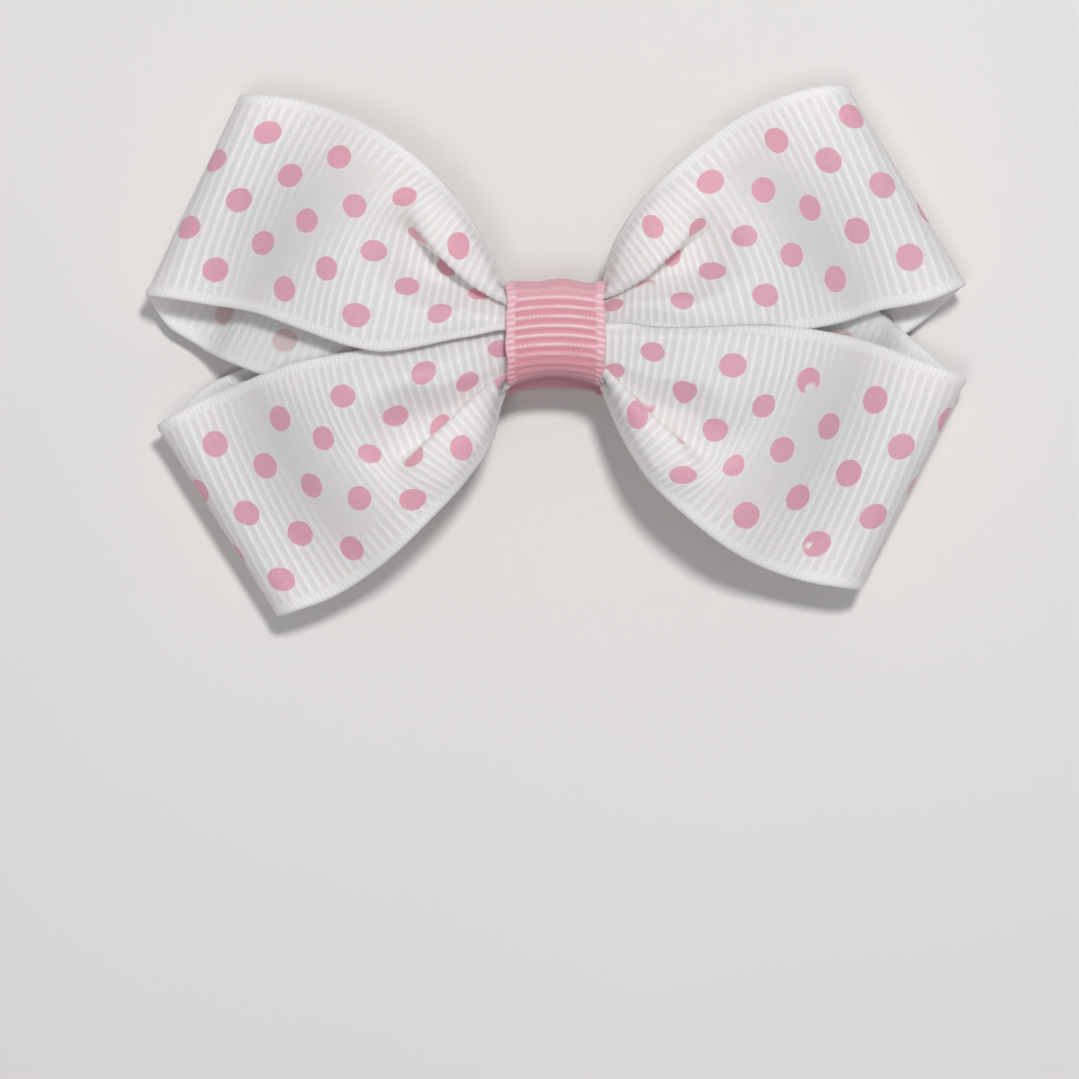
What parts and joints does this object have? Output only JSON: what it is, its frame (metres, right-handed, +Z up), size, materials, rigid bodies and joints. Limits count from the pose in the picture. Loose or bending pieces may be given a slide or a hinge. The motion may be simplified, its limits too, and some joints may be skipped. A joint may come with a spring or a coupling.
{
  "type": "hair bow",
  "caption": "Gathered bow of dotted grosgrain ribbon loops, bound by a narrow centre wrap onto a ribbon-lined sprung hair clip.",
  "frame": {"origin": "under the middle of the knot, on the flat underside of the clip's lower arm, where the bow rests on a table", "axes": "+Z up out of the bow's face, +X along the clip towards its thumb end and across the bow, +Y towards the bow's upper loops"},
  "size_m": [0.0831, 0.055, 0.0148],
  "materials": {
    "bow_ribbon": "matte ribbed grosgrain with printed pink dots",
    "wrap_ribbon": "satin ribbed grosgrain",
    "lining_ribbon": "satin ribbed grosgrain",
    "thread": "twisted polyester",
    "glue": "set hot-melt glue",
    "clip_metal": "nickel-plated pressed steel",
    "pin_metal": "plated steel",
    "spring_wire": "drawn spring wire"
  },
  "bodies": {
    "bow": {"upper_left_loop": "bow_ribbon", "upper_right_loop": "bow_ribbon", "lower_left_loop": "bow_ribbon", "lower_right_loop": "bow_ribbon", "gathering_thread": "thread", "centre_wrap": "wrap_ribbon", "knot_glue": "glue", "wrap_glue": "glue", "clip_lining": "lining_ribbon", "clip_upper_arm": "clip_metal", "hinge_pin": "pin_metal", "torsion_spring": "spring_wire"},
    "clip_jaw": {"clip_lower_arm": "clip_metal"}
  },
  "joints": [
    {"name": "jaw_hinge", "type": "hinge", "parent": "bow", "child": "clip_jaw", "pos_m": [0.008, 0, 0.0039], "axis": [0, -1, 0], "range_deg": [0, 22], "stiffness_Nm_per_rad": 0.1, "springref_deg": -34.38, "deforming": ["torsion_spring"]}
  ]
}
